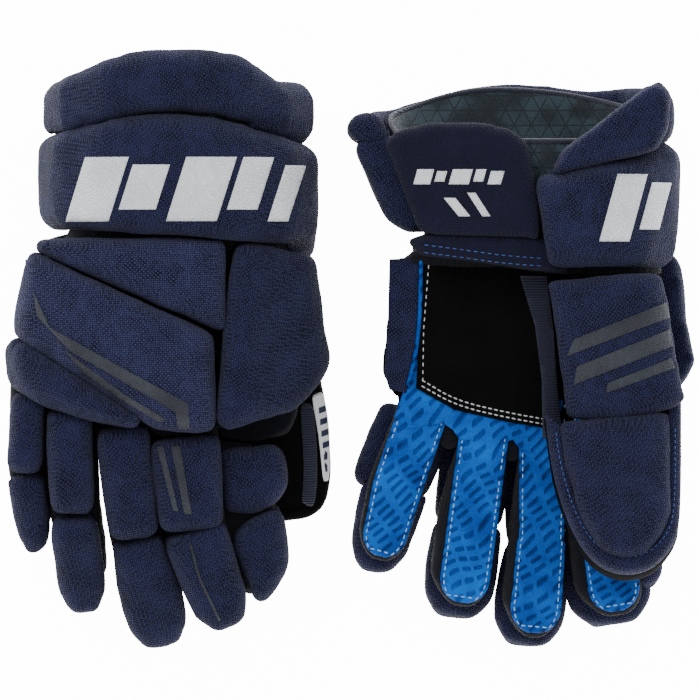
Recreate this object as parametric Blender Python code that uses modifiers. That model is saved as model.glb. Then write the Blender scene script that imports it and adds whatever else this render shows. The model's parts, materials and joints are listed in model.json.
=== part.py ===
"""A pair of ice-hockey gloves: the right one back up, the left one palm up, cuffs towards +Y.

Each glove is drawn in its own millimetre frame: u to the thumb side, v to the cuff, w out of the
back of the hand, with the palm leather at w = 0. The left glove mirrors w.
"""
import math

import bmesh
import bpy
from mathutils import Matrix, Vector

MM = 0.001
GAP = 0.4            # clearance between neighbouring pieces, mm
LEATHER = 2.0        # wall of the hollow soft shells, mm
AXIS_HEIGHT = 5.0    # finger hinge axes above the palm leather, mm
JOINT_GAP = 2.4      # slack at a knuckle, mm

# Back of the hand: height of the liner's outside at each distance across the hand.
BACK_PROFILE = [(-90, 4), (-84, 10), (-74, 24), (-50, 32), (-10, 36), (30, 35), (62, 28), (90, 12), (106, -2)]
PAD_HEIGHT = 23.0
PAD_CHAMFER = 5.0

# Cuff: inner face of the padded rolls, from the little-finger side over the back to the palm.
CUFF_PATH = [(-46, -18), (-47, 10), (-40, 32), (-20, 44), (0, 46), (18, 46), (36, 46), (52, 43), (70, 33),
             (80, 14), (78, -8), (66, -22), (46, -26), (20, -27)]
CUFF_MIDDLE = (16, 10)
LINING_SCALE = 0.965
BAND_DEPTH = 19.0
FLARE_DEPTH = 16.0
FLARE_STOPS = 11     # the flare ends on the thumb side, before the palm
FLARE_END = 204.0    # height of that end
PALM_FOOT = 98.0     # lower edge of the band on the palm side
PALM_TOP = 168.0     # its upper edge there, falling towards the tab
PALM_TOP_FALL = 6.3
PALM_TAB_FACE = -28.5

THUMB_AXIS = (62, 3, -22)
THUMB_FLOOR = -28.0  # outside of the thumb pocket
THUMB_INSIDE = -6.0
THUMB_PAD_HEIGHT = 12.0

# Ranges of the joints that are the same on both gloves, degrees.
THUMB_BEND = (-6, 15)
CUFF_BEND = (-2, 25)

NAVY = (0.028, 0.034, 0.085, 1)
BLUE = (0.01, 0.12, 0.4, 1)
BLACK = (0.006, 0.006, 0.007, 1)
TEAL = (0.04, 0.09, 0.11, 1)

BACK_PADS = {
    "backhand_upper_pad": [(-66, 112), (43, 112), (43.5, 60), (-68, 108)],
    "backhand_middle_pad": [(-71, 106), (36, 56), (38, 2), (29, 0), (4, 2), (-80, 57), (-80, 67)],
    "backhand_lower_pad": [(-80, 53.5), (-84, 47), (-82, 29), (-62, 17), (-31, 8), (-4, 3.5)],
    "backhand_side_panel": [(51, 111), (96, 103), (101, 63), (105, 41), (100, 30), (84, 13), (46, 2), (40, 4)],
}

THUMB_BASE = [(20, 87), (58, 91), (84, 92), (90, 59), (92, 47), (96, 26), (98, 18), (87, 13), (62, 9), (31, 8)]

# One row for each finger: knuckle, middle joint and tip, sleeve width, and the pad widths at its
# start, end and tip, then how far the knuckle and the middle joint bend, in degrees.
GLOVES = {
    "right": {
        "place": (-119.65, -47.65, 49.0),
        "mirror": 1,
        "cuff_flare": 0.0,
        "cuff_edge": 98.0,
        "flare_crest": (226.0, 0.0045),
        "palm_tab": [(-44, 118), (12, 115), (13, 143), (8, 170), (-3, 178), (-20, 182), (-36, 180), (-44, 172)],
        "thumb_tilt": 8.0,
        "thumb": [(22, 0), (30, -26), (42, -46), (58, -54), (80, -54), (97, -51), (105, -42), (107, -18),
                  (103, 8)],
        "fingers": {
            "little": [(-73, 21), (-75, -21), (-69, -65), 17, (17, 18, 17), (-5, 60), (0, 60)],
            "ring": [(-48.5, 12), (-47, -45), (-40, -101), 23, (24, 23, 24), (-5, 60), (0, 75)],
            "middle": [(-17, 1), (-9.5, -60), (6, -122), 26, (28, 26, 33), (-5, 60), (0, 75)],
            "index": [(20, -3), (25, -57), (45, -112), 32, (39, 34, 30), (-5, 10), (0, 40)],
        },
        "curls": {"little": (8, 12), "ring": (8, 12), "middle": (7, 10), "index": (3, 6)},
        "side_pads": [
            [(42, -12), (60, -12), (74, -9), (79, -17), (80, -32), (74, -42), (60, -48), (45, -46)],
            [(49, -63), (58, -54), (74, -46), (78, -54), (80, -78), (77, -85), (68, -99), (64, -101)],
        ],
    },
    "left": {
        "place": (98.75, -47.65, 65.0),
        "mirror": -1,
        "cuff_flare": 0.0029,
        "cuff_edge": 92.0,
        "flare_crest": (207.0, 0.0030),
        "palm_tab": [(-57, 118), (12, 115), (11, 143), (5, 170), (-5, 178), (-23, 182), (-51, 182), (-71, 177),
                     (-78, 171)],
        "thumb_tilt": 15.0,
        "thumb": [(17, 0), (21, -29), (32, -64), (46, -84), (62, -90), (78, -87), (90, -75), (96, -60),
                  (96, 8)],
        "fingers": {
            "little": [(-57, 7), (-71, -34), (-83, -80), 27, (34, 34, 28), (-5, 60), (0, 75)],
            "ring": [(-19, -1), (-26, -54), (-33, -107), 29, (32, 32, 34), (-5, 60), (0, 75)],
            "middle": [(16, -6), (15, -66), (10, -125), 28, (30, 27, 33), (-5, 14), (0, 60)],
            "index": [(48, -2), (52, -56), (61, -112), 29, (31, 36, 42), (-5, 9), (0, 25)],
        },
        "curls": {"little": (4, 6), "ring": (4, 6), "middle": (3, 5), "index": (3, 5)},
        "side_pads": [
            [(66, -6), (80, -8), (92, -12), (92, -32), (84, -42), (74, -46)],
            [(78, -64), (86, -56), (90, -64), (92, -84), (86, -92), (82, -90)],
        ],
    },
}


def back_height(u):
    """Height of the liner's outside over the back of the hand."""
    for (u0, w0), (u1, w1) in zip(BACK_PROFILE, BACK_PROFILE[1:]):
        if u <= u1:
            return w0 + (w1 - w0) * (u - u0) / (u1 - u0)
    return BACK_PROFILE[-1][1]


def make_material(name, colour, roughness):
    material = bpy.data.materials.new(name)
    material.use_nodes = True
    shader = material.node_tree.nodes["Principled BSDF"]
    shader.inputs["Base Color"].default_value = colour
    shader.inputs["Roughness"].default_value = roughness
    return material


def outline_mesh(outline, cuts_u=(), cuts_v=()):
    """A flat face of this outline at w = 0, split along lines of constant u and v."""
    mesh = bmesh.new()
    mesh.faces.new([mesh.verts.new((u, v, 0)) for u, v in outline])
    for axis, cuts in ((0, cuts_u), (1, cuts_v)):
        for cut in cuts:
            point = [0, 0, 0]
            point[axis] = cut
            normal = [0, 0, 0]
            normal[axis] = 1
            geometry = mesh.verts[:] + mesh.edges[:] + mesh.faces[:]
            bmesh.ops.bisect_plane(mesh, geom=geometry, dist=0.01, plane_co=point, plane_no=normal)
    return mesh


def pad_mesh(outline, base, height, chamfer, facing=1, draped=False):
    """A pad with a chamfered face: it stands on base and rises towards facing (+1 or -1)."""
    mesh = outline_mesh(outline, [u for u, _ in BACK_PROFILE] if draped else ())
    flat = mesh.faces[:]
    raised = bmesh.ops.extrude_face_region(mesh, geom=flat)["geom"]
    top_points = [item for item in raised if isinstance(item, bmesh.types.BMVert)]
    top_faces = [item for item in raised if isinstance(item, bmesh.types.BMFace)]
    for point in top_points:
        point.co.z = facing * (height - chamfer)
    bmesh.ops.inset_region(mesh, faces=top_faces, thickness=chamfer, use_even_offset=True)
    for point in {point for face in top_faces for point in face.verts}:
        point.co.z = facing * height
    for point in mesh.verts:
        point.co.z += base + (back_height(point.co.x) if draped else 0)
    bmesh.ops.recalc_face_normals(mesh, faces=mesh.faces)
    return mesh


def loft_mesh(rings, cap_start=False, cap_end=False):
    """Faces between neighbouring rings of points, with optional end caps."""
    mesh = bmesh.new()
    rows = [[mesh.verts.new(point) for point in ring] for ring in rings]
    for row, following in zip(rows, rows[1:]):
        for i in range(len(row)):
            j = (i + 1) % len(row)
            mesh.faces.new((row[i], row[j], following[j], following[i]))
    if cap_start:
        mesh.faces.new(rows[0][::-1])
    if cap_end:
        mesh.faces.new(rows[-1])
    bmesh.ops.recalc_face_normals(mesh, faces=mesh.faces)
    centre = sum((point.co for point in mesh.verts), Vector()) / len(mesh.verts)
    outward = sum(face.normal.dot(face.calc_center_median() - centre) * face.calc_area() for face in mesh.faces)
    if outward < 0:
        bmesh.ops.reverse_faces(mesh, faces=mesh.faces)
    return mesh


class Builder:
    """Makes the parts of one glove and hangs each on the empty of its body."""

    def __init__(self, side, collection):
        glove = GLOVES[side]
        self.side = side
        self.collection = collection
        place = Matrix.Translation(Vector(glove["place"]) * MM)
        self.place = place @ Matrix.Diagonal((MM, MM, MM * glove["mirror"], 1))
        self.mirror = glove["mirror"]
        self.frames = {}
        self.empties = {}

    def body(self, name, parent, point, axis, pose=None):
        """An empty on a joint's axis, its X along the axis; positive turns are those of the record."""
        pose = pose or Matrix()
        world = self.place @ pose @ Vector(point)
        direction = ((self.place @ pose).to_3x3() @ Vector(axis)).normalized() * self.mirror
        frame = Matrix.Translation(world) @ direction.to_track_quat("X", "Z").to_matrix().to_4x4()
        empty = bpy.data.objects.new(f"{self.side}_{name}_joint", None)
        empty.empty_display_size = 0.01
        self.collection.objects.link(empty)
        if parent:
            empty.parent = self.empties[parent]
            empty.matrix_basis = self.frames[parent].inverted() @ frame
        else:
            empty.matrix_basis = frame
        self.frames[name] = frame
        self.empties[name] = empty

    def part(self, name, mesh, body, colour, roughness=0.8, pose=None, wall=0.0):
        """One named part from a mesh in glove millimetres; a wall makes an open surface a shell."""
        full_name = f"{self.side}_{name}"
        data = bpy.data.meshes.new(full_name)
        mesh.to_mesh(data)
        mesh.free()
        data.transform(self.frames[body].inverted() @ self.place @ (pose or Matrix()))
        if self.mirror < 0:
            data.flip_normals()
        data.materials.append(make_material(full_name, colour, roughness))
        part = bpy.data.objects.new(full_name, data)
        part.parent = self.empties[body]
        self.collection.objects.link(part)
        if wall:
            shell = part.modifiers.new("wall", "SOLIDIFY")
            shell.thickness = wall * MM
            shell.offset = -1
            shell.use_even_offset = True
        return part


def heading(start, end):
    """Unit direction from start to end, and the unit direction across it towards the thumb."""
    along = (Vector(end) - Vector(start)).normalized()
    return along, Vector((-along.y, along.x))


def finger_ring(centre, across, along, width, height, slant, push):
    """A ten-sided section whose lower edge is pushed along the finger to leave room for bending."""
    half = width / 2
    corner = min(6, half * 0.45)
    section = [(-half + corner, 0), (half - corner, 0), (half, corner), (half, height * 0.6),
               (half - corner, height - 2), (0, height), (-half + corner, height - 2), (-half, height * 0.6),
               (-half, corner)]
    ring = []
    for x, w in section:
        back = push + max(0.0, AXIS_HEIGHT - w) * slant
        spot = Vector(centre) + across * x + along * back
        ring.append((spot.x, spot.y, w))
    return ring


def finger_pad_outline(start, end, across, along, widths, first, last, tip=False):
    """A pad's outline between two distances along the finger; a tip gets rounded corners."""
    length = (Vector(end) - Vector(start)).length
    half0, half1 = widths[0] / 2, widths[1] / 2
    stations = [(first, half0), (length - last, half1)]
    if tip:
        stations = [(first, half0), (length * 0.55, half1), (length - last - 12, half1 * 0.95),
                    (length - last, half1 * 0.5)]
    right = [Vector(start) + along * d + across * half for d, half in stations]
    left = [Vector(start) + along * d - across * half for d, half in reversed(stations)]
    return [(p.x, p.y) for p in right + left]


def build_finger(glove, name, numbers, curls, side_pads):
    knuckle, middle, tip, width, pads, bend_knuckle, bend_middle = numbers
    along, across = heading(knuckle, middle)
    tip_along, tip_across = heading(middle, tip)
    knuckle_point = (*knuckle, AXIS_HEIGHT)
    middle_point = (*middle, AXIS_HEIGHT)
    bend_axis = Vector((*across, 0))
    first = Matrix.Translation(knuckle_point) @ Matrix.Rotation(math.radians(curls[0]), 4, bend_axis)
    first = first @ Matrix.Translation(-Vector(knuckle_point))
    second_axis = Vector((*((across + tip_across).normalized()), 0))
    second = Matrix.Translation(middle_point) @ Matrix.Rotation(math.radians(curls[1]), 4, second_axis)
    second = first @ second @ Matrix.Translation(-Vector(middle_point))
    lower, upper = f"{name}_proximal", f"{name}_distal"
    glove.body(lower, "hand", knuckle_point, bend_axis)
    glove.body(upper, lower, middle_point, second_axis, first)

    knuckle_slant = math.tan(math.radians(bend_knuckle[1] + curls[0] + 3))
    middle_slant = math.tan(math.radians((bend_middle[1] + curls[1]) / 2 + 2))
    mid_across = (across + tip_across).normalized()
    height = 25 if name != "little" else 22
    end_height = height - 4

    rings = [finger_ring(knuckle, across, along, width, height, knuckle_slant, JOINT_GAP),
             finger_ring(middle, mid_across, -along, width, end_height + 1, middle_slant, 1.2)]
    glove.part(f"{name}_proximal_sleeve", loft_mesh(rings), lower, BLUE, 0.6, first, wall=LEATHER)

    length = (Vector(tip) - Vector(middle)).length
    spot = [Vector(middle) + tip_along * d for d in (length * 0.5, length - 16, length - 6)]
    rings = [finger_ring(middle, mid_across, tip_along, width, end_height + 1, middle_slant, 1.2),
             finger_ring(spot[0], tip_across, tip_along, width + 1, end_height, 0, 0),
             finger_ring(spot[1], tip_across, tip_along, width, end_height - 3, 0, 0),
             finger_ring(spot[2], tip_across, tip_along, width * 0.6, end_height - 8, 0, 0)]
    glove.part(f"{name}_distal_sleeve", loft_mesh(rings, cap_end=True), upper, BLUE, 0.6, second, wall=LEATHER)

    pad_height = 20 if name != "little" else 18
    outline = finger_pad_outline(knuckle, middle, across, along, pads[:2], 4.5, 2.0)
    mesh = pad_mesh(outline, height + GAP, pad_height, 4)
    glove.part(f"{name}_proximal_pad", mesh, lower, NAVY, 0.85, first)
    outline = finger_pad_outline(middle, tip, tip_across, tip_along, pads[1:], 2.0, 0, tip=True)
    mesh = pad_mesh(outline, end_height + 1 + GAP, pad_height, 4)
    glove.part(f"{name}_distal_pad", mesh, upper, NAVY, 0.85, second)
    if side_pads:
        hinged = (("proximal", lower, first), ("distal", upper, second))
        for outline, (label, body, pose) in zip(side_pads, hinged):
            mesh = pad_mesh(outline, 8, 22, 5)
            glove.part(f"{name}_side_pad_{label}", mesh, body, NAVY, 0.85, pose)


def shell_outline(fingers):
    """Outline of the hand shell: straight at the wrist, stepped along the four knuckles."""
    points = [(88, 14), (88, 100), (-70, 104), (-78, 60), (-80, 34)]
    for name in ("little", "ring", "middle", "index"):
        knuckle, middle, _, width = fingers[name][:4]
        along, across = heading(knuckle, middle)
        for side in (-1, 1):
            spot = Vector(knuckle) + across * side * width * 0.46 - along * 0.3
            points.append((spot.x, spot.y))
    return points


def build_hand_shell(glove, fingers):
    """Liner and palm as one hollow body, open at the wrist and knuckles, with the thumb's pocket."""
    pocket_u = (34, 84)
    pocket_v = (10, 92)
    cuts = sorted({u for u, _ in BACK_PROFILE} | set(pocket_u))
    mesh = outline_mesh(shell_outline(fingers), cuts, pocket_v)
    sole = mesh.faces[:]
    copies = bmesh.ops.duplicate(mesh, geom=mesh.verts[:] + mesh.edges[:] + sole)["geom"]
    back = [item for item in copies if isinstance(item, bmesh.types.BMVert)]
    for point in back:
        point.co.z = back_height(point.co.x)
    mesh.edges.ensure_lookup_table()
    edges = [edge for edge in mesh.edges if edge.is_boundary]

    def on_side(edge):
        left = all(point.co.x < -69 for point in edge.verts)
        right = all(point.co.x > 87 for point in edge.verts)
        return left or right

    sides = [edge for edge in edges if on_side(edge)]
    bmesh.ops.bridge_loops(mesh, edges=[edge for edge in sides if edge.verts[0].co.x < 0])
    bmesh.ops.bridge_loops(mesh, edges=[edge for edge in sides if edge.verts[0].co.x > 0])

    def in_pocket(face):
        centre = face.calc_center_median()
        return (abs(centre.z) < 0.1 and pocket_u[0] < centre.x < pocket_u[1]
                and pocket_v[0] < centre.y < pocket_v[1])

    doomed = [face for face in mesh.faces if in_pocket(face)]
    rim = {edge for face in doomed for edge in face.edges
           if sum(other in doomed for other in edge.link_faces) == 1}
    rim = [edge for edge in rim if any(point.co.y > pocket_v[0] + 1 for point in edge.verts)]
    bmesh.ops.delete(mesh, geom=doomed, context="FACES_ONLY")
    walls = bmesh.ops.extrude_edge_only(mesh, edges=rim)["geom"]
    for item in walls:
        if isinstance(item, bmesh.types.BMVert):
            item.co.z = THUMB_FLOOR
    loose = [point for point in mesh.verts if not point.link_faces]
    bmesh.ops.delete(mesh, geom=loose, context="VERTS")
    bmesh.ops.recalc_face_normals(mesh, faces=mesh.faces)
    top = max(mesh.faces, key=lambda face: face.calc_center_median().z)
    if top.normal.z < 0:
        bmesh.ops.reverse_faces(mesh, faces=mesh.faces)
    glove.part("hand_shell", mesh, "hand", BLACK, 0.7, wall=LEATHER)


def build_thumb(glove, numbers):
    glove.body("thumb", "hand", THUMB_AXIS, (1, 0, 0))
    tilt = Matrix.Translation(THUMB_AXIS) @ Matrix.Rotation(math.radians(numbers["thumb_tilt"]), 4, "X")
    tilt = tilt @ Matrix.Translation(-Vector(THUMB_AXIS))
    base = pad_mesh(THUMB_BASE, THUMB_FLOOR - GAP, THUMB_PAD_HEIGHT + 2, 5, -1)
    glove.part("thumb_base_pad", base, "hand", NAVY)

    outline = numbers["thumb"]
    centre = Vector((sum(u for u, _ in outline), sum(v for _, v in outline))) / len(outline)

    def level(scale, w):
        return [(centre.x + (u - centre.x) * scale, centre.y + (v - centre.y) * scale, w) for u, v in outline]

    tip = pad_mesh([(u, v) for u, v, _ in level(0.94, 0)], THUMB_FLOOR - GAP, THUMB_PAD_HEIGHT, 5, -1)
    glove.part("thumb_tip_pad", tip, "thumb", NAVY, pose=tilt)

    rows = [level(0.93, THUMB_INSIDE), level(1.0, THUMB_INSIDE - 6), level(1.0, THUMB_FLOOR + 5),
            level(0.93, THUMB_FLOOR)]
    sleeve = loft_mesh(rows, cap_start=True, cap_end=True)
    sleeve.faces.ensure_lookup_table()
    mouth = [face for face in sleeve.faces if face.normal.y > 0.6]
    bmesh.ops.delete(sleeve, geom=mouth, context="FACES")
    glove.part("thumb_sleeve", sleeve, "thumb", BLACK, 0.6, pose=tilt, wall=LEATHER)


def cuff_point(numbers, u, v):
    """Cuff outlines widen towards the opening, away from the thumb-side edge."""
    edge = numbers["cuff_edge"]
    return edge - (edge - u) * (1 + numbers["cuff_flare"] * max(0, v - 105))


def wrap_mesh(numbers, stops, depth, low, high):
    """A padded roll along the cuff's path; low and high give its edges at each u."""
    rings = []
    for i, (u, w) in enumerate(CUFF_PATH[:stops]):
        before = Vector(CUFF_PATH[max(0, i - 1)])
        after = Vector(CUFF_PATH[min(len(CUFF_PATH) - 1, i + 1)])
        along = (after - before).normalized()
        out = Vector((-along.y, along.x))
        bottom, top = low(u, i), high(u, i)
        section = [(0.4, bottom), (depth * 0.55, bottom), (depth, bottom + 7), (depth, top - 7),
                   (depth * 0.55, top), (0.4, top)]
        ring = []
        for d, v in section:
            spot = Vector((u, w)) + out * d
            ring.append((cuff_point(numbers, spot.x, v), v, spot.y))
        rings.append(ring)
    return loft_mesh(rings, cap_start=True, cap_end=True)


def build_cuff(glove, numbers):
    """Flared cuff on the wrist line: two padded rolls, the lining tube inside them and the palm tab."""
    axis = Vector((163, -12, 0)).normalized()
    glove.body("cuff", "hand", (16, 112, 62), axis)
    last = FLARE_STOPS - 1

    def band_foot(u, i):
        return 115.5 - 0.074 * (u - 16) if i < last else PALM_FOOT

    def seam(u, i):
        return 188 - 0.0035 * (u - 10) ** 2 if i <= last else PALM_TOP - (i - last) * PALM_TOP_FALL

    def crest(u, i):
        top, fall = numbers["flare_crest"]
        return top - fall * (u - 12) ** 2 if i < last - 2 else FLARE_END

    band = wrap_mesh(numbers, len(CUFF_PATH), BAND_DEPTH, band_foot, lambda u, i: seam(u, i) - GAP)
    glove.part("cuff_band_pad", band, "cuff", NAVY)
    flare = wrap_mesh(numbers, FLARE_STOPS, FLARE_DEPTH, lambda u, i: seam(u, i) + GAP, crest)
    glove.part("cuff_flare_pad", flare, "cuff", NAVY)

    def lining_ring(v, rise):
        ring = []
        for u, w in CUFF_PATH + [(-12, -25), (-38, -22)]:
            lift = rise if w > 0 else 0
            inner_u = CUFF_MIDDLE[0] + (u - CUFF_MIDDLE[0]) * LINING_SCALE
            inner_w = CUFF_MIDDLE[1] + (w - CUFF_MIDDLE[1]) * LINING_SCALE
            ring.append((cuff_point(numbers, inner_u, v), v + lift, inner_w))
        return ring

    rings = [lining_ring(119, 0), lining_ring(150, 0), lining_ring(180, 20)]
    glove.part("cuff_liner", loft_mesh(rings), "cuff", TEAL, 0.8, wall=LEATHER)
    glove.part("cuff_palm_tab", pad_mesh(numbers["palm_tab"], PALM_TAB_FACE, 6, 2, -1), "cuff", NAVY)


def build_glove(side, collection):
    numbers = GLOVES[side]
    glove = Builder(side, collection)
    glove.body("hand", None, (0, 60, 0), (0, 0, 1))
    build_hand_shell(glove, numbers["fingers"])
    for name, outline in BACK_PADS.items():
        glove.part(name, pad_mesh(outline, GAP, PAD_HEIGHT, PAD_CHAMFER, draped=True), "hand", NAVY)
    for name, row in numbers["fingers"].items():
        side_pads = numbers["side_pads"] if name == "index" else None
        build_finger(glove, name, row, numbers["curls"][name], side_pads)
    build_thumb(glove, numbers)
    build_cuff(glove, numbers)


def main():
    for item in list(bpy.data.objects):
        bpy.data.objects.remove(item, do_unlink=True)
    collection = bpy.data.collections.new("hockey_gloves")
    bpy.context.scene.collection.children.link(collection)
    for side in GLOVES:
        build_glove(side, collection)
    bpy.context.view_layer.update()


main()
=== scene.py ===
import json
import math

import bmesh
import bpy
from mathutils import Matrix, Vector, noise
from mathutils.bvhtree import BVHTree

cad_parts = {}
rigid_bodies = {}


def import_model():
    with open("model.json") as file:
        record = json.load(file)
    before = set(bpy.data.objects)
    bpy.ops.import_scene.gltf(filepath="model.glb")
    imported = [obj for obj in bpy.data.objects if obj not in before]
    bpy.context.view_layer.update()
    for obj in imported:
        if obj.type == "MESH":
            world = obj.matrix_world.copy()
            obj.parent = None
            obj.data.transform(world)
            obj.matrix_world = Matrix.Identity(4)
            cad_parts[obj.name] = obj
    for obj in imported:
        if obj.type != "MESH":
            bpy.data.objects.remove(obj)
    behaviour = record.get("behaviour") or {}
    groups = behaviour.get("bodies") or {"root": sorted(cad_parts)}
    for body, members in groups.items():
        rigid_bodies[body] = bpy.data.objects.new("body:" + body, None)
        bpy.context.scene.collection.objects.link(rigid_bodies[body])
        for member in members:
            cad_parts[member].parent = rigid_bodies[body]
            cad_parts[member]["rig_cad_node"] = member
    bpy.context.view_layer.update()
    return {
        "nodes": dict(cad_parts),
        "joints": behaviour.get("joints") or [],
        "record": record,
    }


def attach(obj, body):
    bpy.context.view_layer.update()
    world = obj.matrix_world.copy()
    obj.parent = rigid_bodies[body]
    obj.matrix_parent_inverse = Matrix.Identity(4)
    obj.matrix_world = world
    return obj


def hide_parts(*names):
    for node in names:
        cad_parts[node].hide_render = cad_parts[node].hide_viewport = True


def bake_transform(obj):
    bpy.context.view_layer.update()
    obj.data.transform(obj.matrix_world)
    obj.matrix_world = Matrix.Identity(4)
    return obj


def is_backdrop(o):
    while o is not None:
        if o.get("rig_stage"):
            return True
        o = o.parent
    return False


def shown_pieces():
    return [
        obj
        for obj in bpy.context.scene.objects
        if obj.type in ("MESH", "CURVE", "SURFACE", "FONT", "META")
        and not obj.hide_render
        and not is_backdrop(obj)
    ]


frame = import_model()
MM = 0.001

# Each glove has its own drawing frame, in millimetres: u to the thumb side, v to the cuff, w out of
# the back of the hand from the palm leather. The left glove lies on its back, so its w points down.
GLOVES = {"right": ((-119.65, -47.65, 49.0), 1), "left": ((98.75, -47.65, 65.0), -1)}
FINGERS = ("little", "ring", "middle", "index")


def place(side, u, v, w):
    """A point of a glove's drawing frame, in the row frame in metres."""
    (x, y, z), mirror = GLOVES[side]
    return Vector((x + u, y + v, z + mirror * w)) * MM


def body_of(node):
    return next(b for b, nodes in frame["record"]["behaviour"]["bodies"].items() if node in nodes)


def joint(name):
    return next(j for j in frame["joints"] if j["name"] == name)


# ---- materials


class Nodes:
    """Short names for the shader nodes that the materials use."""

    def __init__(self, name):
        self.material = bpy.data.materials.new(name)
        self.material.use_nodes = True
        self.tree = self.material.node_tree
        self.shader = self.tree.nodes["Principled BSDF"]
        self.coords = self.tree.nodes.new("ShaderNodeTexCoord").outputs["Object"]

    def link(self, value, socket):
        if isinstance(value, bpy.types.NodeSocket):
            self.tree.links.new(value, socket)
        else:
            socket.default_value = value

    def math(self, operation, a, b=0.0):
        node = self.tree.nodes.new("ShaderNodeMath")
        node.operation = operation
        self.link(a, node.inputs[0])
        self.link(b, node.inputs[1])
        return node.outputs[0]

    def times(self, a, b):
        return self.math("MULTIPLY", a, b)

    def plus(self, a, b):
        return self.math("ADD", a, b)

    def axes(self, vector=None):
        node = self.tree.nodes.new("ShaderNodeSeparateXYZ")
        self.link(vector or self.coords, node.inputs[0])
        return node.outputs

    def turned(self, angle):
        node = self.tree.nodes.new("ShaderNodeMapping")
        node.inputs["Rotation"].default_value = angle
        self.link(self.coords, node.inputs[0])
        return node.outputs[0]

    def noise(self, scale, detail=3.0):
        node = self.tree.nodes.new("ShaderNodeTexNoise")
        node.inputs["Scale"].default_value = scale
        node.inputs["Detail"].default_value = detail
        self.link(self.coords, node.inputs["Vector"])
        return node.outputs["Fac"]

    def ramp(self, value, stops):
        node = self.tree.nodes.new("ShaderNodeValToRGB")
        elements = node.color_ramp.elements
        while len(elements) < len(stops):
            elements.new(0.5)
        for element, (position, colour) in zip(elements, stops):
            element.position = position
            element.color = (*colour, 1)
        self.link(value, node.inputs[0])
        return node.outputs[0]

    def bump(self, height, distance, strength=1.0, under=None):
        node = self.tree.nodes.new("ShaderNodeBump")
        node.inputs["Distance"].default_value = distance
        node.inputs["Strength"].default_value = strength
        self.link(height, node.inputs["Height"])
        if under:
            self.link(under, node.inputs["Normal"])
        return node.outputs[0]

    def finish(self, colour, roughness, normal, **fixed):
        self.link(colour, self.shader.inputs["Base Color"])
        self.link(roughness, self.shader.inputs["Roughness"])
        self.link(normal, self.shader.inputs["Normal"])
        for name, value in fixed.items():
            self.shader.inputs[name.replace("_", " ")].default_value = value
        return self.material


def weave(nodes, pitch, angle=(0.0, 0.0, 0.0)):
    """Over-and-under threads: one lattice that looks woven on a face of any slope."""
    wobble = nodes.times(nodes.noise(260.0, 1.0), pitch * 0.9)
    x, y, z = (nodes.plus(a, wobble) for a in nodes.axes(nodes.turned(angle))[:3])
    turns = 2 * math.pi / pitch
    sx, sy, sz = (nodes.math("SINE", nodes.times(a, turns)) for a in (x, y, z))
    flat = nodes.times(sx, sy)
    steep = nodes.plus(nodes.times(sy, sz), nodes.times(sz, sx))
    return nodes.plus(flat, nodes.times(steep, 0.7))


def cloth_material(name, dark, light, pitch, angle=0.6, depth=0.0005):
    """Coarse woven nylon: bumpy threads painted lighter on their raised tops and darker between them as
    painted highlight and shade, fine colour mottling and a soft sheen.
    """
    nodes = Nodes(name)
    threads = weave(nodes, pitch, (0.0, 0.0, angle))
    patches = nodes.noise(55.0)
    grit = nodes.noise(1500.0, 1.0)
    # The thread lattice sets the colour as well as the bump: painted highlight on raised threads, painted
    # shade between them.
    mixed = nodes.plus(nodes.times(threads, 0.42), nodes.times(patches, 0.5))
    mixed = nodes.plus(mixed, nodes.times(grit, 0.35))
    middle = tuple((a + b) / 2 for a, b in zip(dark, light))
    colour = nodes.ramp(mixed, [(0.12, dark), (0.42, middle), (0.85, light)])
    rough = nodes.plus(nodes.times(grit, 0.2), 0.7)
    normal = nodes.bump(nodes.noise(140.0), 0.0006, 0.5)
    normal = nodes.bump(threads, depth, 0.9, normal)
    return nodes.finish(colour, rough, normal, Sheen_Weight=0.06, Sheen_Roughness=0.5,
                        Specular_IOR_Level=0.12)


def leather_material(name, dark, light, grain=900.0, depth=0.0003, roughness=0.55, shine=0.35):
    nodes = Nodes(name)
    cells = nodes.noise(grain, 4.0)
    patches = nodes.noise(40.0)
    mixed = nodes.plus(nodes.times(cells, 0.5), nodes.times(patches, 0.5))
    colour = nodes.ramp(mixed, [(0.3, dark), (0.7, light)])
    rough = nodes.plus(nodes.times(cells, 0.25), roughness - 0.12)
    return nodes.finish(colour, rough, nodes.bump(cells, depth, 0.7), Specular_IOR_Level=shine)


def grip_material():
    """Blue palm leather embossed with rows of short slanted dashes, which are painted darker as painted
    shade in their grooves.
    """
    nodes = Nodes("palm_grip_blue")
    x, y, _ = nodes.axes()
    sway = nodes.times(nodes.noise(35.0, 0.0), 0.02)
    turns = 2 * math.pi / 0.0115
    slanted = nodes.plus(nodes.plus(y, sway), nodes.times(x, -0.75))
    upright = nodes.plus(nodes.plus(x, sway), nodes.times(y, 0.3))
    rows = nodes.math("SINE", nodes.times(slanted, turns * 1.5))
    breaks = nodes.math("SINE", nodes.times(upright, turns))
    gaps = nodes.math("MINIMUM", nodes.plus(nodes.times(breaks, 2.0), 1.4), 1.0)
    dashes = nodes.times(nodes.math("MAXIMUM", rows, 0.0), nodes.math("MAXIMUM", gaps, 0.0))
    grain = nodes.noise(1200.0, 3.0)
    patches = nodes.noise(45.0)
    mixed = nodes.plus(nodes.times(grain, 0.3), nodes.times(patches, 0.6))
    # The dashes are painted darker here: painted shade in the embossed grooves.
    mixed = nodes.math("SUBTRACT", mixed, nodes.times(dashes, 0.2))
    dark, plain, bright = (0.0001, 0.012, 0.08), (0.0001, 0.052, 0.29), (0.0001, 0.13, 0.55)
    colour = nodes.ramp(mixed, [(0.14, dark), (0.38, plain), (0.62, bright)])
    height = nodes.math("SUBTRACT", nodes.times(grain, 0.3), nodes.times(dashes, 2.0))
    rough = nodes.plus(nodes.times(grain, 0.2), 0.4)
    return nodes.finish(colour, rough, nodes.bump(height, 0.0006, 0.9), Specular_IOR_Level=0.06)


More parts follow.
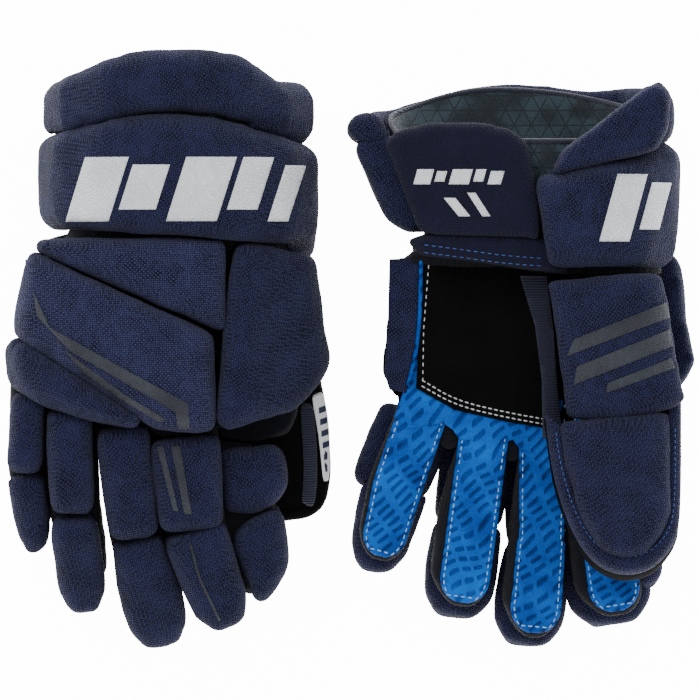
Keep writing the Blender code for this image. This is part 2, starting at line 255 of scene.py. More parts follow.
def ribbed_material(name, dark, light, pitch=0.0016, angle=0.0):
    nodes = Nodes(name)
    _, y, z = nodes.axes(nodes.turned((0.0, 0.0, angle)))
    phase = nodes.times(nodes.plus(y, nodes.times(z, 0.5)), 2 * math.pi / pitch)
    ribs = nodes.math("SINE", phase)
    grit = nodes.noise(1400.0, 1.0)
    # The ribs set the colour as well as the bump: painted highlight on each rib's crest, painted shade in
    # its furrow.
    mixed = nodes.plus(nodes.times(ribs, 0.25), grit)
    colour = nodes.ramp(mixed, [(0.2, dark), (0.8, light)])
    normal = nodes.bump(ribs, 0.0005, 0.8)
    return nodes.finish(colour, 0.7, normal, Specular_IOR_Level=0.3, Sheen_Weight=0.2)


def lining_material():
    """Teal lining cloth printed with a lattice of triangles."""
    nodes = Nodes("cuff_lining_teal")
    x, y, _ = nodes.axes()
    turns = 1 / 0.018
    slopes = (0.58, -0.58)
    rise = nodes.times(y, turns)
    sides = [nodes.plus(rise, nodes.times(x, turns * slope * 3)) for slope in slopes]
    sides.append(nodes.times(y, 2 * turns))
    edges = None
    for side in sides:
        line = nodes.math("LESS_THAN", nodes.math("FRACT", side), 0.1)
        edges = line if edges is None else nodes.math("MAXIMUM", edges, line)
    tone = nodes.plus(nodes.times(nodes.noise(75.0, 0.0), 1.3), -0.2)
    shade = nodes.plus(tone, nodes.times(edges, -0.4))
    stops = [(0.02, (0.0006, 0.006, 0.012)), (0.3, (0.005, 0.013, 0.02)), (0.62, (0.02, 0.042, 0.058))]
    colour = nodes.ramp(shade, stops)
    return nodes.finish(colour, 0.8, nodes.bump(weave(nodes, 0.0011), 0.0003, 0.6), Sheen_Weight=0.2)


def print_material(name, dark, light):
    """Rubbery ink on cloth: the weave still shows through it, in its bumps and as painted highlight and
    shade in its colour.
    """
    nodes = Nodes(name)
    threads = weave(nodes, 0.0014, (0.0, 0.0, 0.6))
    # The thread lattice tints the ink: painted highlight on raised threads, painted shade between them.
    mixed = nodes.plus(nodes.times(threads, 0.25), nodes.noise(35.0))
    colour = nodes.ramp(mixed, [(0.25, dark), (0.8, light)])
    return nodes.finish(colour, 0.55, nodes.bump(threads, 0.0004, 0.8), Specular_IOR_Level=0.4)


CANVAS_PITCH = 0.0018
NAVY = ((0.0003, 0.0003, 0.0045), (0.028, 0.0325, 0.108))
# A lighter copy of the navy canvas for the broad top pads on the back of the hand: painted light.
LIT_NAVY = ((0.0006, 0.0008, 0.007), (0.046, 0.052, 0.148))
# The stretch cloth is tinted near-black: its own dark navy plus painted shade for the gaps between pads
# where it sits.
STRETCH_NAVY_SHADED = ((0.0006, 0.0007, 0.0025), (0.0035, 0.004, 0.013))
SUEDE_BLACK = ((0.0012, 0.0012, 0.0012), (0.0035, 0.0035, 0.004))
MATERIALS = {
    "canvas": cloth_material("pad_canvas_navy", *NAVY, CANVAS_PITCH),
    "canvas_back": cloth_material("pad_canvas_navy_back", *LIT_NAVY, CANVAS_PITCH, 0.75),
    "canvas_low": cloth_material("pad_canvas_navy_turned", *NAVY, CANVAS_PITCH, 0.95),
    "stretch": cloth_material("stretch_side_navy", *STRETCH_NAVY_SHADED, 0.0009, 0.3, 0.0004),
    "tab": cloth_material("cuff_tab_navy", (0.002, 0.0022, 0.011), (0.011, 0.012, 0.046), 0.0013, 0.5),
    "black": leather_material("palm_suede_black", *SUEDE_BLACK, 1500.0, 0.0003, 0.9, 0.05),
    "grip": grip_material(),
    "webbing": ribbed_material("webbing_navy", (0.001, 0.0013, 0.008), (0.012, 0.014, 0.05)),
    "binding": ribbed_material("edge_binding_navy", (0.002, 0.004, 0.014), (0.012, 0.017, 0.05),
                               0.0009, 0.7),
    "lining": lining_material(),
    "grey_print": print_material("grey_print", (0.009, 0.011, 0.018), (0.05, 0.056, 0.075)),
    "white_print": print_material("white_print", (0.72, 0.75, 0.8), (0.95, 0.96, 1.0)),
    "blue_thread": leather_material("thread_blue", (0.015, 0.04, 0.16), (0.05, 0.1, 0.32), 3000.0),
    "pale_blue_thread": leather_material("thread_pale_blue", (0.12, 0.33, 0.62), (0.3, 0.55, 0.85), 3000.0),
    "white_thread": leather_material("thread_white", (0.35, 0.36, 0.38), (0.65, 0.66, 0.68), 3000.0),
    "navy_thread": leather_material("thread_navy", (0.01, 0.013, 0.035), (0.03, 0.036, 0.09), 3000.0),
    "label": leather_material("label_white", (0.6, 0.62, 0.64), (0.8, 0.81, 0.83), 2500.0),
}
SLOTS = {look: "padding_cover" for look in MATERIALS}
SLOTS.update({look: "palm_blue" for look in ("grip", "blue_thread", "pale_blue_thread")})
SLOTS.update({look: "palm_black" for look in ("black", "white_thread", "label")})
SLOTS["lining"] = "lining"


# ---- mesh helpers


def add_piece(name, mesh, look, body=None):
    """A shown object from a mesh or bmesh in row-frame metres."""
    if isinstance(mesh, bmesh.types.BMesh):
        data = bpy.data.meshes.new(name)
        mesh.to_mesh(data)
        mesh.free()
        mesh = data
    mesh.materials.clear()
    mesh.materials.append(MATERIALS[look])
    mesh.shade_smooth()
    piece = bpy.data.objects.new(name, mesh)
    bpy.context.scene.collection.objects.link(piece)
    if body:
        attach(piece, body)
    return piece


def evaluated_mesh(obj):
    """The object's mesh with its modifiers applied, as new mesh data."""
    bpy.context.view_layer.update()
    return bpy.data.meshes.new_from_object(obj.evaluated_get(bpy.context.evaluated_depsgraph_get()))


def applied(data, *modifiers):
    """Mesh data with modifiers applied in turn, each given by its kind and its settings."""
    shape = bpy.data.objects.new("applied", data)
    bpy.context.scene.collection.objects.link(shape)
    for kind, settings in modifiers:
        modifier = shape.modifiers.new(kind.lower(), kind)
        for name, value in settings.items():
            setattr(modifier, name, value)
    result = evaluated_mesh(shape)
    bpy.data.objects.remove(shape)
    return result


def soften(iterations):
    return "SMOOTH", {"iterations": iterations, "factor": 0.5}


def subdivide(levels):
    return "SUBSURF", {"levels": levels, "render_levels": levels}


def even_mesh(mesh, voxel, smoothing):
    """A closed bmesh as an even mesh with softened edges."""
    data = bpy.data.meshes.new("even")
    mesh.to_mesh(data)
    mesh.free()
    return applied(data, ("REMESH", {"mode": "VOXEL", "voxel_size": voxel}), soften(smoothing))


def remeshed(node, voxel, smoothing):
    """A CAD node's solid as an even mesh with softened edges."""
    mesh = bmesh.new()
    mesh.from_mesh(frame["nodes"][node].data)
    bmesh.ops.remove_doubles(mesh, verts=mesh.verts, dist=1e-6)
    return even_mesh(mesh, voxel, smoothing)


def refine(data):
    return applied(data, soften(1), subdivide(1))


CLOTH_STEPS = 20
CLOTH = {"use_pressure": True, "uniform_pressure_force": 4.0, "quality": 4, "mass": 0.2,
         "tension_stiffness": 25, "compression_stiffness": 25, "bending_stiffness": 0.6}


def inflate_all(meshes, caps):
    """Cloth under pressure for every pad at once; each pad's points move at most its cap."""
    scene = bpy.context.scene
    sims = []
    for name, data in meshes.items():
        shape = bpy.data.objects.new(name + "_sim", data)
        scene.collection.objects.link(shape)
        cloth = shape.modifiers.new("air", "CLOTH")
        settings = cloth.settings
        for setting, value in CLOTH.items():
            setattr(settings, setting, value)
        settings.effector_weights.gravity = 0
        cloth.point_cache.frame_start = 1
        cloth.point_cache.frame_end = CLOTH_STEPS
        sims.append((name, shape))
    for step in range(1, CLOTH_STEPS + 1):
        scene.frame_set(step)
    results = {}
    for name, shape in sims:
        moved = evaluated_mesh(shape)
        for before, after in zip(shape.data.vertices, moved.vertices):
            shift = after.co - before.co
            if shift.length > caps[name]:
                after.co = before.co + shift.normalized() * caps[name]
        results[name] = moved
    scene.frame_set(1)
    for _, shape in sims:
        bpy.data.objects.remove(shape)
    return results


def push_out(data, distance):
    """Move every point along its normal by distance(point)."""
    moves = [(p.co.copy(), p.normal.copy()) for p in data.vertices]
    for point, (spot, normal) in zip(data.vertices, moves):
        point.co = spot + normal * distance(spot)


def crumple(data, amount, size, seed=0.0):
    """Shallow folds and dents in the cloth, from smooth noise along each point's normal."""
    shift = Vector((seed, seed * 0.7, 0))

    def fold(spot):
        where = spot / size + shift
        return amount * (noise.noise(where) + 0.5 * noise.noise(where * 2.3))

    push_out(data, fold)


def surface_tree(obj):
    data = obj.data
    return BVHTree.FromPolygons([p.co for p in data.vertices], [tuple(f.vertices) for f in data.polygons])


# ---- padded pieces


PAD_SWELL = 0.0012
PAD_VOXEL = 0.0035
CAP_SHARE = 0.3
# How far the left glove's finger pads reach out to the little-finger side: proximal and distal, in mm.
OUTER_REACH = {"little": (8.0, 2.5), "ring": (5.0, 5.0), "middle": (6.0, 6.5), "index": (2.0, 6.0)}
# How far each proximal pad reaches back over its knuckle, in metres.
FINGER_REACH = {"little": 0.0075, "ring": 0.0075, "middle": 0.0075, "index": 0.003}
# How far the flare's crest sinks on the little-finger side and rises on the thumb side, in metres.
CREST_CHANGE = {"right": (0.0035, 0.003), "left": (0.009, 0.0)}
# Each pad's look, and the cap in millimetres whose CAP_SHARE is how far its cloth may move.
PAD_NODES = {
    # The two broad back pads take the lighter copy of the canvas: painted light.
    "backhand_upper_pad": ("canvas_back", 4.5), "backhand_middle_pad": ("canvas_back", 4.5),
    "backhand_lower_pad": ("canvas", 4.5), "backhand_side_panel": ("canvas_low", 4.5),
    "cuff_flare_pad": ("canvas", 4.5), "cuff_band_pad": ("canvas_low", 4.5),
    "thumb_base_pad": ("canvas", 4.0), "thumb_tip_pad": ("canvas_low", 4.0),
    "index_side_pad_proximal": ("canvas", 2.5), "index_side_pad_distal": ("canvas", 2.5),
}
for finger in FINGERS:
    PAD_NODES[f"{finger}_proximal_pad"] = ("canvas", 3.0)
    PAD_NODES[f"{finger}_distal_pad"] = ("canvas_low", 3.0)


def extent(points):
    """Mean of the width and depth of these mesh points, seen from above."""
    xs = [p.co.x for p in points]
    ys = [p.co.y for p in points]
    return (max(xs) - min(xs) + max(ys) - min(ys)) / 2


def swell(data, node, margin):
    """Push a softened pad outwards until it is this much larger all round than its CAD solid."""
    lost = extent(frame["nodes"][node].data.vertices) - extent(data.vertices)
    push_out(data, lambda spot: lost / 2 + margin)


def smooth_step(x):
    x = min(1.0, max(0.0, x))
    return x * x * (3 - 2 * x)


def stretch_finger_pad(data, side, finger, distal):
    """Lengthen a finger pad towards its neighbours, so that only a crease stays between them."""
    start = Vector(joint(f"{side}_{finger}_{'middle_joint' if distal else 'knuckle'}")["pos_m"])
    points = [p.co.copy() for p in data.vertices]
    centre = sum(points, Vector()) / len(points)
    along = Vector((centre.x - start.x, centre.y - start.y, 0)).normalized()
    low = min((p - centre).dot(along) for p in points)
    high = max((p - centre).dot(along) for p in points)
    before, after = (0.0016, 0.0) if distal else (FINGER_REACH[finger], 0.0014)
    for point, spot in zip(data.vertices, points):
        share = ((spot - centre).dot(along) - low) / (high - low)
        shift = after * smooth_step(share * 2 - 1) - before * smooth_step(1 - share * 1.8)
        point.co = spot + along * shift
    if side == "right":
        return
    edge = min(p.x for p in points)
    width = max(p.x for p in points) - edge
    reach = OUTER_REACH[finger][distal] * MM
    for point in data.vertices:
        point.co.x -= reach * smooth_step(1 - (point.co.x - edge) / width)


def fit_outline(data, side, name):
    """Small changes of outline: the left glove's narrower sides, and each flare's uneven crest."""
    x0, y0, _ = (c * MM for c in GLOVES[side][0])
    little_edge, thumb_edge, crest_start = -0.055, 0.08, 0.18
    sink, rise = CREST_CHANGE[side]
    for point in data.vertices:
        u, v = point.co.x - x0, point.co.y - y0
        if side == "left" and name.startswith("backhand") and u < little_edge:
            point.co.x = x0 + little_edge + (u - little_edge) * 0.55
        if name == "cuff_flare_pad" and v > crest_start:
            point.co.y += rise * smooth_step(u / 0.07) - sink * smooth_step(-u / 0.08)
        if side == "left" and name.startswith("cuff_") and u > thumb_edge:
            point.co.x = x0 + thumb_edge + (u - thumb_edge) * 0.85
        if side == "left" and name.startswith("index_side"):
            point.co.x -= 0.007


def shape_thumb_tip(data):
    """Narrow the thumb's tip pad to leave its rim showing."""
    points = [p.co.copy() for p in data.vertices]
    centre = sum(points, Vector()) / len(points)
    top = max(p.y for p in points)
    for point, spot in zip(data.vertices, points):
        point.co.x = centre.x + (spot.x - centre.x) * 0.84
        point.co.y = top + 0.003 - (top - spot.y) * 0.95


def build_pads():
    """Every pad of both gloves: an inflated cloth copy of its CAD solid."""
    nodes = {f"{side}_{name}": row for side in GLOVES for name, row in PAD_NODES.items()}
    cages = {node: remeshed(node, PAD_VOXEL, 2) for node in nodes}
    shapes = inflate_all(cages, {node: cap * MM * CAP_SHARE for node, (_, cap) in nodes.items()})
    pads = {}
    for i, (node, data) in enumerate(shapes.items()):
        data = refine(data)
        swell(data, node, PAD_SWELL)
        side, name = node.split("_", 1)
        finger = name.split("_")[0]
        if finger in FINGERS and "side" not in name:
            stretch_finger_pad(data, side, finger, "distal" in name)
        if name == "thumb_tip_pad":
            shape_thumb_tip(data)
        fit_outline(data, side, name)
        crumple(data, 0.0006, 0.022, i * 1.7)
        pad = add_piece(node + "_cushion", data, nodes[node][0], body_of(node))
        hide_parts(node)
        pads[node] = pad
    return pads


# ---- lofts, prints and stitches


def loft(rings, closed=True, caps=False):
    """Quads between rings of row-frame points."""
    mesh = bmesh.new()
    rows = [[mesh.verts.new(point) for point in ring] for ring in rings]
    for row, following in zip(rows, rows[1:]):
        count = len(row) if closed else len(row) - 1
        for i in range(count):
            j = (i + 1) % len(row)
            mesh.faces.new((row[i], row[j], following[j], following[i]))
    if caps:
        mesh.faces.new(rows[0][::-1])
        mesh.faces.new(rows[-1])
    bmesh.ops.recalc_face_normals(mesh, faces=mesh.faces)
    return mesh


def finished(mesh, wall=0.0, levels=1):
    """A bmesh with a wall in millimetres and smoothing applied, as mesh data."""
    data = bpy.data.meshes.new("finished")
    mesh.to_mesh(data)
    mesh.free()
    modifiers = []
    if wall:
        modifiers.append(("SOLIDIFY", {"thickness": wall * MM, "offset": 0.0}))
    if levels:
        modifiers.append(subdivide(levels))
    return applied(data, *modifiers)


def gridded(outlines, step):
    """Flat faces from outlines in u and v, cut into cells of this size."""
    mesh = bmesh.new()
    for outline in outlines:
        mesh.faces.new([mesh.verts.new((u, v, 0)) for u, v in outline])
    for axis in (0, 1):
        values = [point.co[axis] for point in mesh.verts]
        for k in range(1, int((max(values) - min(values)) / step) + 1):
            spot = [0, 0, 0]
            spot[axis] = min(values) + k * step
            normal = [0, 0, 0]
            normal[axis] = 1
            geometry = mesh.verts[:] + mesh.edges[:] + mesh.faces[:]
            bmesh.ops.bisect_plane(mesh, geom=geometry, dist=0.01, plane_co=spot, plane_no=normal)
    return mesh


def resample(path, step):
    """Points this far apart along a polyline of vectors, each with its direction."""
    result = []
    carry = 0.0
    for start, end in zip(path, path[1:]):
        length = (end - start).length
        direction = (end - start).normalized()
        travelled = carry
        while travelled < length:
            result.append((start + direction * travelled, direction))
            travelled += step
        carry = travelled - length
    return result


def smooth_path(points):
    """Corner cutting, twice: a softer polyline between the same ends."""
    points = [Vector(p) for p in points]
    for _ in range(2):
        cut = [points[0]]
        for a, b in zip(points, points[1:]):
            cut.append(a.lerp(b, 0.25))
            cut.append(a.lerp(b, 0.75))
        points = cut + [points[-1]]
    return points


def capsule_into(mesh, centre, direction, up, length, radius):
    """One sewn stitch: a six-sided spindle lying along direction."""
    side = direction.cross(up).normalized()
    rings = []
    for t, scale in ((-0.5, 0.35), (-0.3, 1.0), (0.3, 1.0), (0.5, 0.35)):
        ring = []
        for k in range(6):
            turn = k * math.pi / 3
            offset = side * math.cos(turn) + up * math.sin(turn) * 0.8
            ring.append(mesh.verts.new(centre + direction * t * length + offset * radius * scale))
        rings.append(ring)
    for row, following in zip(rings, rings[1:]):
        for i in range(6):
            j = (i + 1) % 6
            mesh.faces.new((row[i], row[j], following[j], following[i]))
    mesh.faces.new(rings[0][::-1])
    mesh.faces.new(rings[-1])


def drop(tree, point, direction):
    """Where a ray along direction meets the surface, or the nearest point to it, and the normal there."""
    hit, normal, _, _ = tree.ray_cast(point - direction * 0.15, direction)
    if hit is None:
        hit, normal, _, _ = tree.find_nearest(point)
    return hit, normal


def view_direction(side, palm):
    """Straight at the back of the hand, or straight at the palm, in the row frame."""
    return Vector((0, 0, GLOVES[side][1] * (1 if palm else -1)))


def stitches(name, side, path, target, palm, look, body, step=4.2, length=2.7, radius=0.45):
    """A row of stitches along a path in u and v, laid on the target surface."""
    tree = surface_tree(target)
    ray = view_direction(side, palm)
    mesh = bmesh.new()
    flat = [place(side, u, v, 0) for u, v in path]
    for point, direction in resample(flat, step * MM):
        hit, normal = drop(tree, point, ray)
        tangent = (direction - normal * direction.dot(normal)).normalized()
        centre = hit + normal * radius * 0.5 * MM
        capsule_into(mesh, centre, tangent, normal, length * MM, radius * MM)
    return add_piece(name, mesh, look, body)


def print_on(name, side, outlines, target, palm, look, body, lift=0.35):
    """Flat shapes given by outlines in u and v, printed on the target surface."""
    tree = surface_tree(target)
    ray = view_direction(side, palm)
    mesh = gridded(outlines, 2.5)
    for point in mesh.verts:
        hit, normal = drop(tree, place(side, point.co.x, point.co.y, 0), ray)
        point.co = hit + (normal - ray).normalized() * lift * MM
    bmesh.ops.recalc_face_normals(mesh, faces=mesh.faces)
    return add_piece(name, finished(mesh, 0.25, 0), look, body)


def cord_along(path, radius, closed=False):
    """A round tube along row-frame points, as a bmesh."""
    rings = []
    count = len(path)
    for i, point in enumerate(path):
        if closed:
            direction = (path[(i + 1) % count] - path[i - 1]).normalized()
        else:
            direction = (path[min(i + 1, count - 1)] - path[max(i - 1, 0)]).normalized()
        side = direction.cross(Vector((0, 0, 1)))
        if side.length < 0.05:
            side = direction.cross(Vector((0, 1, 0)))
        side.normalize()
        up = side.cross(direction)
        ring = []
        for k in range(8):
            turn = math.pi * k / 4
            ring.append(point + (side * math.cos(turn) + up * math.sin(turn)) * radius * MM)
        rings.append(ring)
    if closed:
        rings.append(rings[0])
        mesh = loft(rings)
        bmesh.ops.remove_doubles(mesh, verts=mesh.verts, dist=1e-6)
        return mesh
    return loft(rings, caps=True)


# ---- fingers


# Half widths of the gusset tube at the knuckle, middle joint and near the tip, and of the palm strip.
TUBES = {
    "right": {"little": (11.5, 11, 9.5, 8.5), "ring": (15, 14.5, 13, 11),
              "middle": (17.5, 16.5, 15.5, 12.5), "index": (20.5, 18.5, 15.5, 14)},
    "left": {"little": (16, 16, 13.5, 15.0), "ring": (15.5, 15.5, 15.5, 15.0),
             "middle": (15, 14, 15, 14.5), "index": (15, 17, 18, 15.0)},
}
# How far a tube's middle leans to the thumb side, or with a minus sign to the little-finger side.
LEAN = {"right": {"little": 0.8, "ring": 1.2, "middle": 1.2, "index": 0.8},
        "left": {"little": -1.0, "ring": -3.0, "middle": -3.0, "index": -3.0}}
TUBE_TOP, TUBE_BOTTOM = 21.5, -5.4
HINGE_REACH = 0.009


class Finger:
    """Stations along one finger: 0 at the knuckle, 1 at the middle joint, 2 at the end of the sleeve."""

    def __init__(self, side, name):
        self.side = side
        self.name = f"{side}_{name}"
        self.mirror = GLOVES[side][1]
        self.widths = TUBES[side][name]
        self.lean = LEAN[side][name]
        self.knuckle = Vector(joint(f"{self.name}_knuckle")["pos_m"])
        self.middle = Vector(joint(f"{self.name}_middle_joint")["pos_m"])
        points = [p.co for p in frame["nodes"][f"{self.name}_distal_sleeve"].data.vertices]
        centre = sum(points, Vector()) / len(points)
        reach = (centre - self.middle).normalized()
        far = max((p - self.middle).dot(reach) for p in points)
        ends = [p for p in points if (p - self.middle).dot(reach) > far - 0.002]
        self.tip = sum(ends, Vector()) / len(ends)
        self.lengths = ((self.middle - self.knuckle).length, (self.tip - self.middle).length)

    def axes(self, t):
        """Centre, and the directions along, across and out of the back, at a station."""
        first = (self.middle - self.knuckle).normalized()
        second = (self.tip - self.middle).normalized()
        mix = min(1.0, max(0.0, (t - 0.8) / 0.4))
        along = first.lerp(second, mix).normalized()
        if t <= 1:
            centre = self.knuckle + first * t * self.lengths[0]
        else:
            centre = self.middle + second * (t - 1) * self.lengths[1]
        up = Vector((0, 0, self.mirror))
        up = (up - along * up.dot(along)).normalized()
        across = along.cross(up) * self.mirror
        return centre, along, across, up

    def half_width(self, t, taper=True):
        start, middle, end, _ = self.widths
        width = start + (middle - start) * t if t < 1 else middle + (end - middle) * (t - 1)
        if taper and t > 1.7:
            width *= math.sqrt(max(0.03, 1 - ((t - 1.7) / 0.42) ** 2))
        return width

    def tube_ring(self, t):
        centre, _, across, up = self.axes(t)
        lean = self.lean * smooth_step(t) * smooth_step((2.1 - t) * 2)
        half = self.half_width(t) + abs(lean)
        centre = centre - across * lean * MM
        top = TUBE_TOP - 8 * max(0.0, t - 1)
        bottom = TUBE_BOTTOM
        if t > 1.7:
            squeeze = math.sqrt(max(0.05, 1 - ((t - 1.7) / 0.42) ** 2))
            middle = (top + bottom) / 2
            top = middle + (top - middle) * squeeze
            bottom = middle + (bottom - middle) * squeeze
        ring = []
        for k in range(20):
            turn = 2 * math.pi * k / 20
            x = math.copysign(abs(math.cos(turn)) ** 0.6, math.cos(turn)) * half
            z = math.copysign(abs(math.sin(turn)) ** 0.6, math.sin(turn)) * (top - bottom) / 2
            ring.append(centre + (across * x + up * (z + (top + bottom) / 2)) * MM)
        return ring

    def strip_half(self, t):
        half = self.widths[3] * self.half_width(t, False) / self.widths[0 if t < 1 else 1]
        if t > 1.75:
            half *= math.sqrt(max(0.0, 1 - ((t - 1.75) / 0.31) ** 2))
        return half

    def strip_point(self, t, share):
        """A point of the palm strip; share runs from -1 to 1 across it."""
        centre, _, across, up = self.axes(t)
        z = -6.0 + 2.2 * abs(share) ** 5
        fold = math.sin(t * 21.0 + share * 1.1 + self.widths[0]) * 0.45
        fold += noise.noise(centre * 75 + across * share * 0.9) * 1.5
        if t > 1.6:
            z += 3.2 * ((t - 1.6) / 0.45) ** 2
        return centre + (across * self.strip_half(t) * share + up * (z + fold * (1 - abs(share) ** 3))) * MM


def stations(first, last, count):
    return [first + (last - first) * i / (count - 1) for i in range(count)]


def hinge_blend(piece, finger, lower):
    """Bake a piece's transform into its mesh; the reach over the knuckle (lower) or the middle joint is
    worked out but not applied.
    """
    if lower:
        reach = finger.axes(0)[1] * HINGE_REACH
    else:
        reach = finger.axes(1)[1] * HINGE_REACH
    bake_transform(piece)


def gusset_tube(finger, label, lower):
    """Stretch cloth round the finger, over one of its joints."""
    ts = stations(-0.42, 0.52, 16) if lower else stations(0.42, 2.1, 30)
    data = finished(loft([finger.tube_ring(t) for t in ts], caps=not lower))
    crumple(data, 0.0005, 0.012, len(finger.name.split("_")[1]))
    tube = add_piece(f"{finger.name}_gusset_{label}", data, "stretch")
    hinge_blend(tube, finger, lower)
    return tube


def palm_strip(finger, label, lower):
    """The finger's blue palm leather, and the thread near its edges."""
    ts = stations(-0.4, 0.52, 22) if lower else stations(0.48, 2.055, 44)
    shares = [-1, -0.86, -0.6, -0.3, 0, 0.3, 0.6, 0.86, 1]
    rows = [[finger.strip_point(t, share) for share in shares] for t in ts]
    strip = add_piece(f"{finger.name}_palm_{label}", finished(loft(rows, closed=False), wall=1.1), "grip")
    hinge_blend(strip, finger, lower)
    tree = surface_tree(strip)
    near = [finger.strip_point(t, -0.84) for t in ts[:-2]]
    far = [finger.strip_point(t, 0.84) for t in ts[:-2]]
    tip = [finger.strip_point(ts[-3], share) for share in (-0.5, 0, 0.5)]
    out = Vector((0, 0, -finger.mirror))
    mesh = bmesh.new()
    for path in [near, far] if lower else [near + tip + far[::-1]]:
        for point, direction in resample(path, 0.0042):
            hit, normal, _, _ = tree.ray_cast(point + out * 0.02, -out)
            if hit is None:
                continue
            tangent = (direction - normal * direction.dot(normal)).normalized()
            capsule_into(mesh, hit + normal * 0.0002, tangent, normal, 0.0027, 0.00045)
    thread = add_piece(f"{finger.name}_thread_{label}", mesh, "pale_blue_thread")
    hinge_blend(thread, finger, lower)


def build_fingers(side):
    """Each finger's tube and palm strip, in two lengths that meet between its joints."""
    for name in FINGERS:
        finger = Finger(side, name)
        for label, part, lower in (("knuckle", "proximal", True), ("end", "distal", False)):
            tube = gusset_tube(finger, label, lower)
            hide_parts(f"{finger.name}_{part}_sleeve")
            palm_strip(finger, label, lower)


# ---- hand, palm and thumb


# Rings in u and w: round the hand at the wrist, and round the inside of the cuff.
HAND_RING = [(-74, 1), (-75, 14), (-67, 24), (-42, 31), (-12, 34), (12, 33.5), (32, 33), (50, 29), (70, 23),
             (86, 12), (87, 1), (84, -22), (60, -28), (38, -26), (28, -1), (-10, -1), (-46, -1)]
CUFF_RING = [(-46, -18), (-47, 10), (-40, 32), (-20, 44), (0, 46), (18, 46), (36, 46), (52, 43), (70, 33),
             (80, 14), (78, -8), (66, -22), (46, -26), (20, -27), (2, -26), (-14, -25), (-36, -22)]
# The edge that the cuff widens away from, and how much wider it gets for each millimetre of v.
CUFF_EDGE = {"right": (98.0, 0.0), "left": (92.0, 0.0029)}
# The flare's highest v, and how fast its crest falls off to both sides.
FLARE_CREST = {"right": (226.0, 0.0045), "left": (207.0, 0.0030)}


def cuff_u(side, u, v):
    edge, flare = CUFF_EDGE[side]
    return edge - (edge - u) * (1 + flare * max(0, v - 105))


def cuff_ring(side, scale, height):
    """A ring inside the cuff; height gives v for each point of the path."""
    ring = []
    for u, w in CUFF_RING:
        v = height(u, w)
        inner_u = 16 + (u - 16) * scale
        inner_w = 10 + (w - 10) * (scale - 0.03)
        ring.append(place(side, cuff_u(side, inner_u, v), v, inner_w))
    return ring


def build_hand(side):
    """The hand's shell: stretch cloth on the back and sides, black suede towards the palm."""
    node = f"{side}_hand_shell"
    data = remeshed(node, 0.0022, 3)
    crumple(data, 0.0004, 0.015)
    shell = add_piece(f"{side}_hand_liner", data, "stretch", f"{side}_hand")
    data.materials.append(MATERIALS["black"])
    mirror = GLOVES[side][1]
    limit = place(side, 0, 0, 6).z * mirror
    for face in data.polygons:
        if face.center.z * mirror < limit:
            face.material_index = 1
    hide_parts(node)

    def between(share, v):
        ring = []
        for (u0, w0), (u1, w1) in zip(HAND_RING, CUFF_RING):
            u = u0 + (cuff_u(side, u1, v) - u0) * share
            ring.append(place(side, u, v, (w0 + (w1 - w0) * share) * 0.97))
        return ring

    rings = [between(0.0, 93), between(0.05, 98), between(0.5, 107), between(0.9, 117), between(0.97, 126)]
    data = finished(loft(rings), wall=1.6, levels=2)
    crumple(data, 0.0010, 0.014, 3.0)
    gusset = add_piece(f"{side}_wrist_gusset", data, "stretch")
    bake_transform(gusset)


PALM = {
    "blue": [(-59, 60), (-50, 50), (16, 12), (24, -2), (22, -16), (2, -12), (-2, -6), (-10, -8),
             (-34, -6), (-38, 0), (-44, 4), (-66, 0), (-73, 8), (-68, 22), (-62, 34)],
    "black": [(-55, 103), (-23, 101), (1, 97), (16, 92), (17, 62), (17, 1), (-6.5, 5), (-37, 12), (-60, 25),
              (-58, 60)],
}


def palm_sheet(side, outline, w, depth, seed, step=3.0):
    """A sheet of leather on the palm, with shallow hollows and folds."""
    mesh = gridded([outline], step)
    for point in mesh.verts:
        u, v, _ = point.co
        fold = noise.noise(Vector((u / 26, v / 11, seed))) + 0.5 * noise.noise(Vector((u / 9, v / 6, seed)))
        point.co = place(side, u, v, w + fold * depth)
    bmesh.ops.recalc_face_normals(mesh, faces=mesh.faces)
    return finished(mesh, wall=1.3, levels=0)


def build_palm(side):
    """Blue and black palm leather with its threads, edge panel, piping and webbing."""
    body = f"{side}_hand"

    def sheet(name, outline, look, *shape):
        return add_piece(f"{side}_palm_{name}", palm_sheet(side, outline, *shape), look, body)

    sheet("grip", PALM["blue"], "grip", -1.2, 0.7, 2.0)
    black = sheet("overlay", PALM["black"], "black", -2.6, 0.5, 5.0)
    lower = [(16, 3.5), (-6.5, 7.5), (-36, 14.5), (-58, 27)]
    upper = [(16, 6.5), (-6.5, 10.5), (-36, 17.5), (-57, 30)]
    for row, path in (("lower", lower), ("upper", upper)):
        name = f"{side}_palm_thread_{row}"
        stitches(name, side, smooth_path(path), black, True, "white_thread", body, 3.6, 2.5)
    edge = [(-56, 30), (-55.5, 60), (-52.5, 98)]
    stitches(f"{side}_palm_thread_side", side, edge, black, True, "white_thread", body, 4.5, 2.4, 0.35)
    panel = [(-76, 102), (-58, 103), (-58, 60), (-62, 38), (-66, 22), (-76, 24), (-79, 34), (-77, 60)]
    sheet("edge_panel", panel, "canvas_low", -1.6, 0.5, 8.0)
    route = smooth_path([(-57, 104), (-57.5, 70), (-60, 45), (-65, 26)])
    piping = cord_along([place(side, u, v, -2.9) for u, v in route], 1.3)
    add_piece(f"{side}_palm_piping", piping, "grip", body)
    webbing = [(2, 92), (18, 92), (22, 60), (24, 30), (27, -3), (15.5, -5), (15, 30), (11, 62)]
    sheet("webbing", webbing, "webbing", -4.6, 0.2, 1.0, 4.0)


